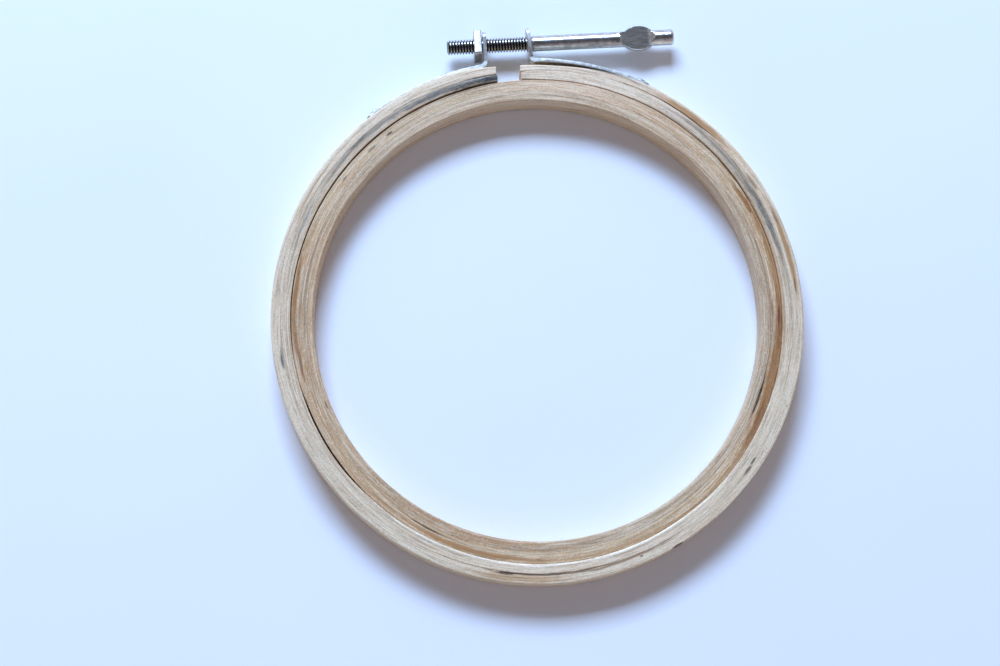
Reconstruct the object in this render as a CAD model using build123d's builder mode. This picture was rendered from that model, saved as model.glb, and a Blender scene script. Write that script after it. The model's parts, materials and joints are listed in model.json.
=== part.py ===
"""Bamboo embroidery hoop with a steel tension screw.

The hoop lies flat. The origin is on the hoop's axis at its underside, and +Z is up through the hoop.
+X runs along the tension screw towards its thumb wing, and +Y points from the hoop's centre to the screw.
All sizes are in millimetres.
"""
from build123d import *
from math import cos, pi, radians, sin
import os

os.makedirs("parts", exist_ok=True)

# Rings
outer_ring_height = 9.5
inner_ring_height = 9.1
outer_radius = 71.2          # outside of the outer ring
outer_glue_radius = 68.5     # glue line between the outer ring's two plies
outer_bore_radius = 65.85    # inside of the outer ring
inner_ring_radius = 65.55    # outside of the inner ring
inner_glue_radius = 62.7     # glue line between the inner ring's two plies
hoop_bore_radius = 59.8      # inside of the inner ring
soft_edge = 0.9              # rounding of the edges that hands touch
sharp_edge = 0.35            # rounding of the edges where the two rings meet

# The split under the screw, and the thin cut opposite it where the outer ring bends
gap_left = -7.0
gap_right = -0.5
flexure_cut = 0.4

# Tension screw, from its threaded end to its stub
screw_y = 77.0
screw_z = 4.8
thread_end_x = -20.0
shoulder_x = 3.2
barrel_end_x = 29.0
wing_centre_x = 32.7
stub_start_x = 36.4
screw_end_x = 42.4
thread_pitch = 0.8
thread_radius = 1.87         # over the crests
thread_core_radius = 1.48
barrel_radius = 2.15
wing_length = 9.6
wing_width = 7.0
wing_thickness = 2.1

# Square nut
nut_width = 7.0
nut_thickness = 2.15
nut_right_x = -10.5
nut_turn = 6.0               # how far the nut's flats are turned about the screw, in degrees
nut_bore_radius = 1.92

# Brackets: a strap round the outer ring and an upright ear
sheet = 1.0
ear_width = 7.4
strap_seat = 0.1             # air between the strap and the wood
sheet_edge = 0.15            # rounding of the sheet's long cut edges
bend_radius = 1.0            # inside the bend
ear_corner = 1.8
ear_shoulder = 2.4           # from the middle of the ear to where the strap narrows
strap_corner = 1.2
head_ear_x = 2.6             # middle of the ear's thickness
head_ear_top = 80.7
head_strap_end = 28.7        # degrees from +Y, positive towards +X
head_strap_z = 1.45          # lower edge of the strap and its ear
head_strap_top = 8.0         # upper edge of the strap past its ear
head_hole_radius = 2.0
nut_ear_x = -9.7
nut_ear_top = 80.4
nut_strap_end = -36.5
nut_strap_z = 0.75
nut_strap_top = 6.3
nut_hole_radius = 2.35
nut_hole_rise = 0.2          # the hole stands above the screw, because the ear sinks as the ring opens

# Nails
nail_radius = 0.6
nail_head_radius = 1.7
nail_head_height = 0.5
nail_depth = 3.6             # how far the shank goes into the wood
nail_clearance = 0.02
head_nail_angles = (10.4, 26.6)
nut_nail_angles = (-17.0, -34.2)

# Worked out from the sizes above
strap_inner = outer_radius + strap_seat
strap_outer = strap_inner + sheet
nail_seat = strap_outer + 0.06
beyond = 2 * outer_radius    # larger than any ring, for cutting shapes


def radial_plane(angle, height):
    """Plane across the hoop's radius at angle degrees from +Y, whose normal points outwards."""
    outward = (sin(radians(angle)), cos(radians(angle)), 0)
    return Plane(origin=(0, 0, height), x_dir=(0, 0, 1), z_dir=outward)


def across_screw(x):
    """Plane across the screw's axis at x, whose normal points along +X."""
    return Plane(origin=(x, screw_y, screw_z), x_dir=(0, 1, 0), z_dir=(1, 0, 0))


def strap_middle(strap_z, strap_top):
    """Height of a strap's centre line."""
    return (strap_z + strap_top) / 2


def save(part, name):
    """Label a finished piece and write its STEP file."""
    part.label = name
    export_step(part, f"parts/{name}.step")


def split_ply(low_radius, high_radius, low_edge, high_edge, side, nail_angles, nail_z):
    """One half of an outer ring ply: side is 1 for the screw head's half and -1 for the nut's half."""
    gap_edge = gap_right if side > 0 else gap_left
    with BuildPart() as ply:
        with BuildSketch(Plane.XY):
            Circle(high_radius)
            Circle(low_radius, mode=Mode.SUBTRACT)
            with Locations((gap_edge, 0)):
                away = Align.MAX if side > 0 else Align.MIN
                Rectangle(beyond, beyond, align=(away, Align.MIN), mode=Mode.SUBTRACT)
            with Locations((side * flexure_cut / 2, 0)):
                Rectangle(beyond, beyond, align=(away, Align.MAX), mode=Mode.SUBTRACT)
        extrude(amount=outer_ring_height)
        arcs = ply.edges().filter_by(GeomType.CIRCLE)
        outside = arcs.filter_by(lambda edge: abs(edge.radius - high_radius) < 0.01)
        inside = arcs.filter_by(lambda edge: abs(edge.radius - low_radius) < 0.01)
        if high_edge:
            fillet(outside, high_edge)
        if low_edge:
            fillet(inside, low_edge)
        for angle in nail_angles:
            hole_floor = outer_radius - nail_depth - nail_clearance
            with BuildSketch(radial_plane(angle, nail_z).offset(hole_floor)):
                Circle(nail_radius + nail_clearance)
            extrude(amount=nail_depth + 1, mode=Mode.SUBTRACT)
    return ply.part


def whole_ply(low_radius, high_radius, low_edge, high_edge):
    """One closed ply of the inner ring."""
    with BuildPart() as ply:
        with BuildSketch(Plane.XY):
            Circle(high_radius)
            Circle(low_radius, mode=Mode.SUBTRACT)
        extrude(amount=inner_ring_height)
        arcs = ply.edges().filter_by(GeomType.CIRCLE)
        if high_edge:
            fillet(arcs.filter_by(lambda edge: abs(edge.radius - high_radius) < 0.01), high_edge)
        if low_edge:
            fillet(arcs.filter_by(lambda edge: abs(edge.radius - low_radius) < 0.01), low_edge)
    return ply.part


def bracket(side, ear_x, ear_top, strap_end, strap_z, strap_top, hole_radius, hole_rise, nail_angles):
    """Steel bracket: side is 1 where the strap runs towards +X from its ear, and -1 towards -X."""
    ear_low = strap_inner * 0.5
    past_end = (beyond * sin(radians(strap_end)), beyond * cos(radians(strap_end)))
    ear_outer_face = ear_x - side * sheet / 2
    nail_height = strap_middle(strap_z, strap_top)
    with BuildPart() as piece:
        with BuildSketch(Plane.XY.offset(strap_z)) as profile:
            with BuildLine():
                Polyline(
                    (0, 0),
                    (ear_outer_face, ear_low),
                    (ear_outer_face, beyond),
                    past_end,
                    close=True,
                )
            make_face()
            Circle(strap_outer, mode=Mode.INTERSECT)
            Circle(strap_inner, mode=Mode.SUBTRACT)
            with Locations((ear_x, strap_inner - 0.2)):
                Rectangle(sheet, ear_top - strap_inner + 0.2, align=(Align.CENTER, Align.MIN))
            Circle(strap_inner, mode=Mode.SUBTRACT)
            outer_corner = profile.vertices().sort_by_distance((ear_outer_face, strap_inner, strap_z))[0]
            fillet(outer_corner, bend_radius + sheet * 0.8)
            inner_face = ear_x + side * sheet / 2
            inner_corner = profile.vertices().sort_by_distance((inner_face, strap_outer, strap_z))[0]
            fillet(inner_corner, bend_radius)
        extrude(amount=ear_width)
        with BuildSketch(Plane.XY.offset(strap_top)):
            with Locations((ear_x + side * ear_shoulder, 0)):
                Rectangle(beyond, beyond, align=(Align.MIN if side > 0 else Align.MAX, Align.MIN))
        extrude(amount=ear_width, mode=Mode.SUBTRACT)
        ear_edges = piece.edges().filter_by(Axis.X).group_by(Axis.Y)[-1]
        fillet(ear_edges, ear_corner)
        end_plane = radial_plane(strap_end, 0)
        end_point = end_plane.origin + end_plane.z_dir * (strap_outer - sheet / 2)
        end_edges = piece.edges().filter_by(lambda edge: edge.length < sheet * 1.2)
        end_edges = end_edges.filter_by(
            lambda edge: abs(edge.center().X - end_point.X) < 0.3 and abs(edge.center().Y - end_point.Y) < 0.3
        )
        fillet(end_edges, strap_corner)
        cut_edges = piece.edges().group_by(Axis.Z)
        strap_edges = piece.edges().filter_by_position(Axis.Z, strap_top - 0.01, strap_top + 0.01)
        fillet(cut_edges[0] + cut_edges[-1] + strap_edges.filter_by(GeomType.CIRCLE), sheet_edge)
        hole_centre = (ear_x - sheet, screw_y + hole_rise, screw_z)
        with BuildSketch(Plane(origin=hole_centre, x_dir=(0, 1, 0), z_dir=(1, 0, 0))):
            Circle(hole_radius)
        extrude(amount=2 * sheet, mode=Mode.SUBTRACT)
        for angle in nail_angles:
            with BuildSketch(radial_plane(angle, nail_height).offset(strap_inner - 1)):
                Circle(nail_radius + nail_clearance)
            extrude(amount=sheet + 2, mode=Mode.SUBTRACT)
    return piece.part


def nail(angle, height):
    """Domed nail through a strap into the wood."""
    seat = radial_plane(angle, height).offset(nail_seat)
    with BuildPart() as piece:
        with BuildSketch(seat):
            Circle(nail_head_radius)
        extrude(amount=nail_head_height)
        rim = piece.edges().filter_by(GeomType.CIRCLE).sort_by_distance(seat.origin + seat.z_dir * 5)[0]
        fillet(rim, nail_head_height * 0.8)
        with BuildSketch(seat):
            Circle(nail_radius)
        extrude(amount=-(nail_seat - outer_radius + nail_depth))
    return piece.part


# Rings: the head's half of the outer ring, the nut's half, and the inner ring
head_nail_z = strap_middle(head_strap_z, head_strap_top)
nut_nail_z = strap_middle(nut_strap_z, nut_strap_top)
save(split_ply(outer_glue_radius, outer_radius, 0, soft_edge, 1, head_nail_angles, head_nail_z),
     "outer_ring_outer_ply_head_half")
save(split_ply(outer_bore_radius, outer_glue_radius, sharp_edge, 0, 1, head_nail_angles, head_nail_z),
     "outer_ring_inner_ply_head_half")
save(split_ply(outer_glue_radius, outer_radius, 0, soft_edge, -1, nut_nail_angles, nut_nail_z),
     "outer_ring_outer_ply_nut_half")
save(split_ply(outer_bore_radius, outer_glue_radius, sharp_edge, 0, -1, nut_nail_angles, nut_nail_z),
     "outer_ring_inner_ply_nut_half")
save(whole_ply(inner_glue_radius, inner_ring_radius, 0, sharp_edge), "inner_ring_outer_ply")
save(whole_ply(hoop_bore_radius, inner_glue_radius, soft_edge, 0), "inner_ring_inner_ply")

# Brackets
head_bracket = bracket(
    1, head_ear_x, head_ear_top, head_strap_end, head_strap_z, head_strap_top,
    head_hole_radius, 0, head_nail_angles,
)
save(head_bracket, "head_side_bracket")
nut_bracket = bracket(
    -1, nut_ear_x, nut_ear_top, nut_strap_end, nut_strap_z, nut_strap_top,
    nut_hole_radius, nut_hole_rise, nut_nail_angles,
)
save(nut_bracket, "nut_side_bracket")

# Nails
for number, nail_angle in enumerate(head_nail_angles, start=1):
    save(nail(nail_angle, head_nail_z), f"head_bracket_nail_{number}")
for number, nail_angle in enumerate(nut_nail_angles, start=1):
    save(nail(nail_angle, nut_nail_z), f"nut_bracket_nail_{number}")

# Tension screw: an oval wing pinched in the rod, the barrel, the stub, and a right-hand thread
thread_run_out = 0.6         # plain core left at each end of the thread
crest_half_width = 0.06
root_half_width = 0.34
root_bite = 0.05             # how far the ridge's foot is sunk in the core
wing_rim = 0.5
barrel_taper = 0.9
stub_chamfer = 0.25
tip_chamfer = 0.3

with BuildPart() as tension_screw:
    with BuildSketch(Plane.XY.offset(screw_z - wing_thickness / 2)):
        with Locations((wing_centre_x, screw_y)):
            Ellipse(wing_length / 2, wing_width / 2)
    extrude(amount=wing_thickness)
    fillet(tension_screw.edges().group_by(Axis.Z)[0], wing_rim)
    fillet(tension_screw.edges().group_by(Axis.Z)[-1], wing_rim)
    with BuildSketch(Plane(origin=(0, screw_y, screw_z), x_dir=(1, 0, 0), z_dir=(0, 0, 1))):
        with BuildLine():
            Polyline(
                (thread_end_x, 0),
                (thread_end_x, thread_core_radius - tip_chamfer),
                (thread_end_x + tip_chamfer, thread_core_radius),
                (shoulder_x, thread_core_radius),
                (shoulder_x, barrel_radius),
                (barrel_end_x - barrel_taper, barrel_radius),
                (barrel_end_x, barrel_radius - barrel_taper),
                (stub_start_x, barrel_radius - barrel_taper),
                (stub_start_x + barrel_taper, barrel_radius),
                (screw_end_x - stub_chamfer, barrel_radius),
                (screw_end_x, barrel_radius - stub_chamfer),
                (screw_end_x, 0),
                close=True,
            )
        make_face()
    revolve(axis=Axis((0, screw_y, screw_z), (1, 0, 0)))
    thread_length = shoulder_x - thread_end_x - 2 * thread_run_out
    with BuildLine() as thread_line:
        Helix(
            pitch=thread_pitch,
            height=thread_length,
            radius=thread_core_radius,
            center=(thread_end_x + thread_run_out, screw_y, screw_z),
            direction=(1, 0, 0),
        )
    thread_start = thread_line.line @ 0
    outward = thread_start - Vector(thread_end_x + thread_run_out, screw_y, screw_z)
    with BuildSketch(Plane(origin=thread_start, x_dir=outward, z_dir=thread_line.line % 0)):
        with BuildLine():
            Polyline(
                (-root_bite, -root_half_width),
                (thread_radius - thread_core_radius, -crest_half_width),
                (thread_radius - thread_core_radius, crest_half_width),
                (-root_bite, root_half_width),
                close=True,
            )
        make_face()
    sweep(path=thread_line.line, is_frenet=True)
save(tension_screw.part, "tension_screw")

# Square nut
nut_corner = 0.3
with BuildPart() as square_nut:
    with BuildSketch(across_screw(nut_right_x - nut_thickness)):
        Rectangle(nut_width, nut_width, rotation=-nut_turn)
        Circle(nut_bore_radius, mode=Mode.SUBTRACT)
    extrude(amount=nut_thickness)
    fillet(square_nut.edges().filter_by(Axis.X), nut_corner)
save(square_nut.part, "square_nut")
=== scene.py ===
"""Looks of the bamboo embroidery hoop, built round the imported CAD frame. All lengths are in metres."""
import json
from math import asin, cos, degrees, pi, radians, sin

import bmesh
import bpy
import numpy as np
from mathutils import Matrix, Vector


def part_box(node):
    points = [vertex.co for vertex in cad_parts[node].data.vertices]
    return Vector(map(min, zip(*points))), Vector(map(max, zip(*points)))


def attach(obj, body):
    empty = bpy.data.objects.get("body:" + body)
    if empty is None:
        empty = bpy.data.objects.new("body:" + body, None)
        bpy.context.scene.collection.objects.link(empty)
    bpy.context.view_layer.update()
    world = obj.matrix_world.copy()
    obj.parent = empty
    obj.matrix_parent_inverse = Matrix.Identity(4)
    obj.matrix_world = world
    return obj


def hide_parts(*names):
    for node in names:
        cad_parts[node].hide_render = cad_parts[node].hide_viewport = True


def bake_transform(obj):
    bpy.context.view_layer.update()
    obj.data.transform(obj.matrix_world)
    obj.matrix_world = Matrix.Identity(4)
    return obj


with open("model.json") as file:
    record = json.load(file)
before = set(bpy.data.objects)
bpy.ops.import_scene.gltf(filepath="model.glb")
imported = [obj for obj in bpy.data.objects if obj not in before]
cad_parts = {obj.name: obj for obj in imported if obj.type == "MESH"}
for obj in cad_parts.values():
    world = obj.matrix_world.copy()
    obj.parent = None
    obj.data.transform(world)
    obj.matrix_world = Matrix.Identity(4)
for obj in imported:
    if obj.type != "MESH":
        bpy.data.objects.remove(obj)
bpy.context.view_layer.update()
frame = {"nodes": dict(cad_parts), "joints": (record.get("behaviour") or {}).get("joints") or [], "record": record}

MM = 0.001

# ---------------- sizes read from the frame

outer_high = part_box("outer_ring_outer_ply_head_half")[1]
outer_glue_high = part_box("outer_ring_inner_ply_head_half")[1]
inner_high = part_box("inner_ring_outer_ply")[1]
inner_glue_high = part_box("inner_ring_inner_ply")[1]
screw_low, screw_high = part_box("tension_screw")
nut_low, nut_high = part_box("square_nut")
head_bracket_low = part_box("head_side_bracket")[0]
hoop_bore = next(m for m in frame["record"]["mounts"] if m["name"] == "hoop_bore")

outer_radius = outer_high.x
outer_glue_radius = outer_glue_high.x
inner_ring_radius = inner_high.x
inner_glue_radius = inner_glue_high.x
hoop_bore_radius = hoop_bore["dims"]["r_mm"] * MM
ring_clearance = 0.3 * MM
outer_bore_radius = inner_ring_radius + ring_clearance
outer_height = outer_high.z
inner_height = inner_high.z
gap_right_x = -0.5 * MM      # the outer ring's sawn end under the screw's head
gap_left_x = -7.0 * MM       # its sawn end under the nut

screw_turn = next(j for j in frame["joints"] if j["name"] == "screw_turn")
screw_y = screw_turn["pos_m"][1]
screw_z = screw_turn["pos_m"][2]
shoulder_x = screw_turn["pos_m"][0]


# ---------------- mesh helpers

def ease(share):
    """A share from 0 to 1 that starts and ends gently."""
    return share * share * (3 - 2 * share)


def ripple(turn, across, cells_around, cells_across, seed):
    """Smooth noise from -1 to 1 that closes on itself round the ring. turn and across run from 0 to 1."""
    lattice = np.random.default_rng(seed).uniform(-1, 1, (cells_around, cells_across + 2))
    along = np.mod(turn, 1.0) * cells_around
    side = np.clip(across, 0, 1) * cells_across
    i = np.floor(along).astype(int)
    j = np.floor(side).astype(int)
    u = ease(along - i)
    v = ease(side - j)
    i = i % cells_around
    i_next = (i + 1) % cells_around
    low = lattice[i, j] * (1 - u) + lattice[i_next, j] * u
    high = lattice[i, j + 1] * (1 - u) + lattice[i_next, j + 1] * u
    return low * (1 - v) + high * v


def window(angle, low, high, soft):
    """1 between two angles in degrees clockwise from +Y, fading to 0 over soft degrees outside them."""
    middle = (low + high) / 2
    away = np.abs((angle - middle + 180) % 360 - 180) - (high - low) / 2
    return ease(np.clip(1 - away / soft, 0, 1))


def mesh_piece(name, points, faces, material):
    """A smooth-shaded mesh object whose rest place is kept on its points for the materials."""
    mesh = bpy.data.meshes.new(name)
    mesh.from_pydata([tuple(p) for p in points], [], faces)
    mesh.update()
    mesh.shade_smooth()
    keep_rest_place(mesh)
    mesh.materials.append(material)
    piece = bpy.data.objects.new(name, mesh)
    bpy.context.scene.collection.objects.link(piece)
    return piece


def keep_rest_place(mesh):
    """Stores each point's place at rest, so that the wood's grain stays on it when the ring bends."""
    places = np.zeros(len(mesh.vertices) * 3, np.float32)
    mesh.vertices.foreach_get("co", places)
    rest = mesh.attributes.get("rest_place") or mesh.attributes.new("rest_place", "FLOAT_VECTOR", "POINT")
    rest.data.foreach_set("vector", places)


def grid_faces(rows, columns, rows_closed, columns_closed):
    """Quads of a grid of rows by columns, whose points are listed row by row."""
    faces = []
    for i in range(rows if rows_closed else rows - 1):
        i_next = (i + 1) % rows
        for j in range(columns if columns_closed else columns - 1):
            j_next = (j + 1) % columns
            faces.append((i * columns + j, i * columns + j_next, i_next * columns + j_next, i_next * columns + j))
    return faces


# ---------------- node helper

class Nodes:
    """Short calls for building one material's or the world's node tree."""

    def __init__(self, tree):
        self.tree = tree
        tree.nodes.clear()

    def add(self, kind, **settings):
        node = self.tree.nodes.new(kind)
        for key, value in settings.items():
            setattr(node, key, value)
        return node

    def feed(self, socket, value):
        """Links an output to a socket, or sets the socket to a plain value."""
        if isinstance(value, bpy.types.NodeSocket):
            self.tree.links.new(value, socket)
        elif value is not None:
            socket.default_value = value

    def math(self, operation, first, second=None):
        node = self.add("ShaderNodeMath", operation=operation)
        self.feed(node.inputs[0], first)
        self.feed(node.inputs[1], second)
        return node.outputs[0]

    def plus(self, first, second):
        return self.math("ADD", first, second)

    def minus(self, first, second):
        return self.math("SUBTRACT", first, second)

    def times(self, first, second):
        return self.math("MULTIPLY", first, second)

    def over(self, first, second):
        return self.math("DIVIDE", first, second)

    def length(self, first, second):
        """Length of the line whose two sides are given."""
        return self.math("SQRT", self.plus(self.times(first, first), self.times(second, second)))

    def combine(self, x, y, z):
        node = self.add("ShaderNodeCombineXYZ")
        for socket, value in zip(node.inputs, (x, y, z)):
            self.feed(socket, value)
        return node.outputs[0]

    def separate(self, vector):
        node = self.add("ShaderNodeSeparateXYZ")
        self.feed(node.inputs[0], vector)
        return node.outputs

    def remap(self, value, low, high, to_low=0.0, to_high=1.0, smooth=False):
        """Turns low into to_low and high into to_high, and holds both outside them."""
        node = self.add("ShaderNodeMapRange", clamp=True)
        node.interpolation_type = "SMOOTHSTEP" if smooth else "LINEAR"
        for socket, item in zip(node.inputs, (value, low, high, to_low, to_high)):
            self.feed(socket, item)
        return node.outputs[0]

    def mix(self, share, first, second, blend_type="MIX"):
        node = self.add("ShaderNodeMix", data_type="RGBA", blend_type=blend_type)
        self.feed(node.inputs[0], share)
        self.feed(node.inputs[6], colour(first))
        self.feed(node.inputs[7], colour(second))
        return node.outputs[2]

    def noise(self, vector, w=0.0, scale=1.0, detail=2.0, roughness=0.5):
        node = self.add("ShaderNodeTexNoise", noise_dimensions="4D")
        self.feed(node.inputs["Vector"], vector)
        self.feed(node.inputs["W"], w)
        node.inputs["Scale"].default_value = scale
        node.inputs["Detail"].default_value = detail
        node.inputs["Roughness"].default_value = roughness
        return node.outputs[0]

    def ramp(self, value, stops):
        """Colours along a value; stops are (place, colour) in rising order."""
        node = self.add("ShaderNodeValToRGB")
        self.feed(node.inputs[0], value)
        elements = node.color_ramp.elements
        elements.remove(elements[1])
        elements[0].position = stops[0][0]
        elements[0].color = colour(stops[0][1])
        for place, shade in stops[1:]:
            elements.new(place).color = colour(shade)
        return node.outputs[0]

    def bump(self, height, strength, distance):
        node = self.add("ShaderNodeBump")
        node.inputs["Strength"].default_value = strength
        node.inputs["Distance"].default_value = distance
        self.feed(node.inputs["Height"], height)
        return node.outputs[0]


def colour(value):
    """An RGB triple as RGBA; a socket or RGBA stays as it is."""
    if isinstance(value, (tuple, list)) and len(value) == 3:
        return (*value, 1.0)
    return value


def new_material(name):
    """A material with an empty node tree, and the calls that fill it."""
    material = bpy.data.materials.new(name)
    material.use_nodes = True
    return material, Nodes(material.node_tree)


def finish_material(n, base, roughness, normal, settings):
    """Joins a base colour, a roughness and a bump to one shader; settings hold its plain values."""
    shader = n.add("ShaderNodeBsdfPrincipled")
    n.feed(shader.inputs["Base Color"], base)
    n.feed(shader.inputs["Roughness"], roughness)
    n.feed(shader.inputs["Normal"], normal)
    for socket_name, value in settings.items():
        shader.inputs[socket_name].default_value = value
    output = n.add("ShaderNodeOutputMaterial")
    n.feed(output.inputs["Surface"], shader.outputs[0])


# ---------------- bamboo material

IVORY = (0.93, 0.69, 0.44)
CREAM = (0.84, 0.63, 0.39)
PALE = (0.76, 0.57, 0.35)
BEIGE = (0.72, 0.51, 0.30)
GREY_BEIGE = (0.62, 0.44, 0.25)
WARM_CREAM = (0.86, 0.585, 0.325)
PINKISH = (0.83, 0.56, 0.35)
SAND = (0.67, 0.43, 0.215)
TAN = (0.59, 0.34, 0.145)
HONEY = (0.50, 0.265, 0.10)
GOLDEN = (0.44, 0.215, 0.07)
# brown of streaks and glue lines, also used for painted shade beside the gap between the rings
UMBER_AND_SHADE = (0.25, 0.13, 0.06)
STAIN_GREY = (0.30, 0.25, 0.18)
STAIN_BLUE = (0.17, 0.16, 0.125)
STAIN_DARK = (0.055, 0.050, 0.040)
# dark brown of cracks, also used for painted shade in the gap between the rings
CRACK_AND_GAP_SHADE = (0.09, 0.044, 0.02)
# dark of knots and specks, also used for painted shade
KNOT_AND_SHADE = (0.04, 0.025, 0.015)
PINK_FLECK = (0.84, 0.50, 0.34)
GREEN_FLECK = (0.56, 0.55, 0.38)
LIGHT_BAND = (0.88, 0.67, 0.43)
DARK_FIBRE = (0.36, 0.22, 0.12)
LIGHT_FIBRE = (0.94, 0.77, 0.54)
DARK_THREAD = (0.31, 0.21, 0.13)
LIGHT_THREAD = (0.96, 0.82, 0.60)
PORE = (0.20, 0.12, 0.065)
DARK_DUST = (0.40, 0.31, 0.21)
LIGHT_DUST = (0.96, 0.84, 0.64)
# colour of a painted highlight
PAINTED_HIGHLIGHT_LINE = (0.96, 0.82, 0.58)
RED_BROWN = (0.36, 0.15, 0.07)
CLEAN = (0.74, 0.55, 0.34)   # what the marks' colours are set against, so that the grain shows through them

SWAY = 0.8 * MM              # how far a long mark wanders across the strip
SHORT_MARK = 3               # a mark of a smaller half angle doesn't wander, and stays at the upper edge
TORN_MARK = 0.4              # a mark torn this much or more is speckled too
TEAR_DEPTH = 5.0
MARK_OUTSIDE = 1.30          # shares of a mark's half size at which it starts and is at full strength
MARK_INSIDE = 0.55
WOOD_RELIEF = 0.16 * MM


def bamboo(name, tones, marks, seed, sawn_tint=(1.0, 1.0, 1.0)):
    """Bare bamboo whose fibres run round the ring.

    tones lists (degrees clockwise from +Y, colour) round the ring. marks lists (colour, strength, middle angle,
    half angle, middle radius, half width, how torn its outline is), with angles in degrees and radii in millimetres.
    sawn_tint multiplies the colour of the sawn upper face.
    """
    material, n = new_material(name)
    place = n.add("ShaderNodeAttribute", attribute_name="rest_place").outputs["Vector"]
    x, y, z = n.separate(place)
    radius = n.length(x, y)
    turn = n.math("FRACT", n.plus(n.over(n.math("ARCTAN2", x, y), 2 * pi), 1.0))
    turn_x = n.over(x, radius)
    turn_y = n.over(y, radius)

    def grain(length, width, detail=2.0, shift=0.0, roughness=0.5):
        """Noise drawn out round the ring, of about that length along the fibres and width across them."""
        along_x = n.times(turn_x, outer_radius / length)
        along_y = n.times(turn_y, outer_radius / length)
        across = n.over(radius, width)
        up = n.plus(n.over(z, width), seed * 7.3 + shift)
        return n.noise(n.combine(along_x, along_y, across), up, 1.0, detail, roughness)

    def up_the_wall(low_share, high_share):
        """0 below one share of the ring's height, 1 above another."""
        return n.remap(z, low_share * outer_height, high_share * outer_height, smooth=True)

    patches = grain(26 * MM, 3.2 * MM, 2.0, 1.7)
    broad = grain(30 * MM, 0.95 * MM, 2.0, 4.1)
    fibres = grain(19 * MM, 0.40 * MM, 3.0, 9.2, 0.6)
    threads = grain(7 * MM, 0.24 * MM, 2.0, 2.6, 0.65)
    pores = grain(1.3 * MM, 0.20 * MM, 1.0, 12.4)
    flecks = grain(2.2 * MM, 0.75 * MM, 3.0, 15.1, 0.6)
    dust = grain(0.45 * MM, 0.32 * MM, 2.0, 6.4, 0.65)
    ragged = grain(2.6 * MM, 0.30 * MM, 3.0, 21.3, 0.65)

    tone_stops = [(degrees_round / 360, shade) for degrees_round, shade in tones]
    tone_stops.append((1.0, tones[0][1]))
    wandering = n.math("FRACT", n.plus(turn, n.remap(patches, 0.0, 1.0, 0.98, 1.02)))
    base = n.ramp(wandering, tone_stops)
    # each layer: its noise, where it begins, where it is full, how strong it is then, and its colour
    layers = (
        (patches, 0.50, 0.68, 0.22, HONEY),
        (patches, 0.50, 0.34, 0.25, CREAM),
        (flecks, 0.53, 0.66, 0.30, PINK_FLECK),
        (flecks, 0.47, 0.34, 0.30, GREEN_FLECK),
        (broad, 0.52, 0.64, 0.32, TAN),
        (broad, 0.48, 0.38, 0.30, LIGHT_BAND),
        (fibres, 0.52, 0.66, 0.52, DARK_FIBRE),
        (fibres, 0.47, 0.36, 0.50, LIGHT_FIBRE),
        (threads, 0.53, 0.66, 0.52, DARK_THREAD),
        (threads, 0.47, 0.34, 0.52, LIGHT_THREAD),
        (pores, 0.62, 0.70, 0.28, PORE),
        (dust, 0.53, 0.68, 0.40, DARK_DUST),
        (dust, 0.47, 0.34, 0.40, LIGHT_DUST),
    )
    for noise, begins, full, strength, shade in layers:
        base = n.mix(n.remap(noise, begins, full, 0.0, strength, smooth=True), base, shade)
    base = n.mix(up_the_wall(0.86, 0.97), base, sawn_tint, "MULTIPLY")

    # marks that sit at one place: stains, cracks, knots and bruises, and also painted shade by the strap and at the
    # gap between the rings, and a painted highlight line
    sway_place = n.combine(n.times(turn_x, 5.0), n.times(turn_y, 5.0), seed * 3.7)
    sway = n.remap(n.noise(sway_place, seed + 0.5, 1.0, 3.0, 0.55), 0.0, 1.0, -SWAY, SWAY)
    swaying = n.plus(radius, sway)
    tear = n.minus(n.plus(n.times(ragged, 0.65), n.times(flecks, 0.35)), 0.5)
    fine_grain = n.plus(n.times(threads, 0.55), n.times(dust, 0.45))
    grainy = n.remap(fine_grain, 0.43, 0.60, 1.0, 0.65, smooth=True)
    speckled = n.remap(fine_grain, 0.43, 0.58, 1.0, 0.40, smooth=True)
    upper_half = up_the_wall(0.25, 0.62)
    upper_edge = up_the_wall(0.82, 0.95)
    for shade, strength, middle, half_angle, middle_radius, half_width, torn in marks:
        short = half_angle < SHORT_MARK
        off_turn = n.minus(n.math("FRACT", n.plus(turn, 1.5 - middle / 360)), 0.5)
        along = n.times(off_turn, 360 / half_angle)
        across = n.over(n.minus(radius if short else swaying, middle_radius * MM), half_width * MM)
        reach = n.plus(n.length(along, across), n.times(tear, TEAR_DEPTH * torn))
        share = n.remap(reach, MARK_OUTSIDE, MARK_INSIDE, smooth=True)
        share = n.times(share, speckled if torn >= TORN_MARK else grainy)
        share = n.times(n.times(share, upper_edge if short else upper_half), strength)
        # each mark's colour against CLEAN, whether a real mark, painted shade or a painted highlight
        mark_tint = tuple(part / clean for part, clean in zip(shade, CLEAN))
        base = n.mix(share, base, mark_tint, "MULTIPLY")

    height = n.plus(n.times(fibres, 0.7), n.times(threads, 0.35))
    height = n.plus(height, n.times(dust, 0.30))
    height = n.minus(height, n.remap(pores, 0.62, 0.70, 0.0, 0.25))
    roughness = n.remap(fibres, 0.3, 0.7, 0.50, 0.72)
    finish_material(n, base, roughness, n.bump(height, 0.60, WOOD_RELIEF), {"Specular IOR Level": 0.35})
    return material


# ---------------- metal material

DRAWN_SCRATCH = (0.22, 0.215, 0.22)
METAL_GRIT = (0.16, 0.15, 0.15)
PRESSED_FACE = (0.215, 0.175, 0.13)
RUBBED_FACE = (0.55, 0.47, 0.35)
# darkening of the thread, deepest in its roots as painted shade
THREAD_DARK_AND_ROOT_SHADE = (0.06, 0.055, 0.048)
METAL_RELIEF = 0.04 * MM


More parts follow.
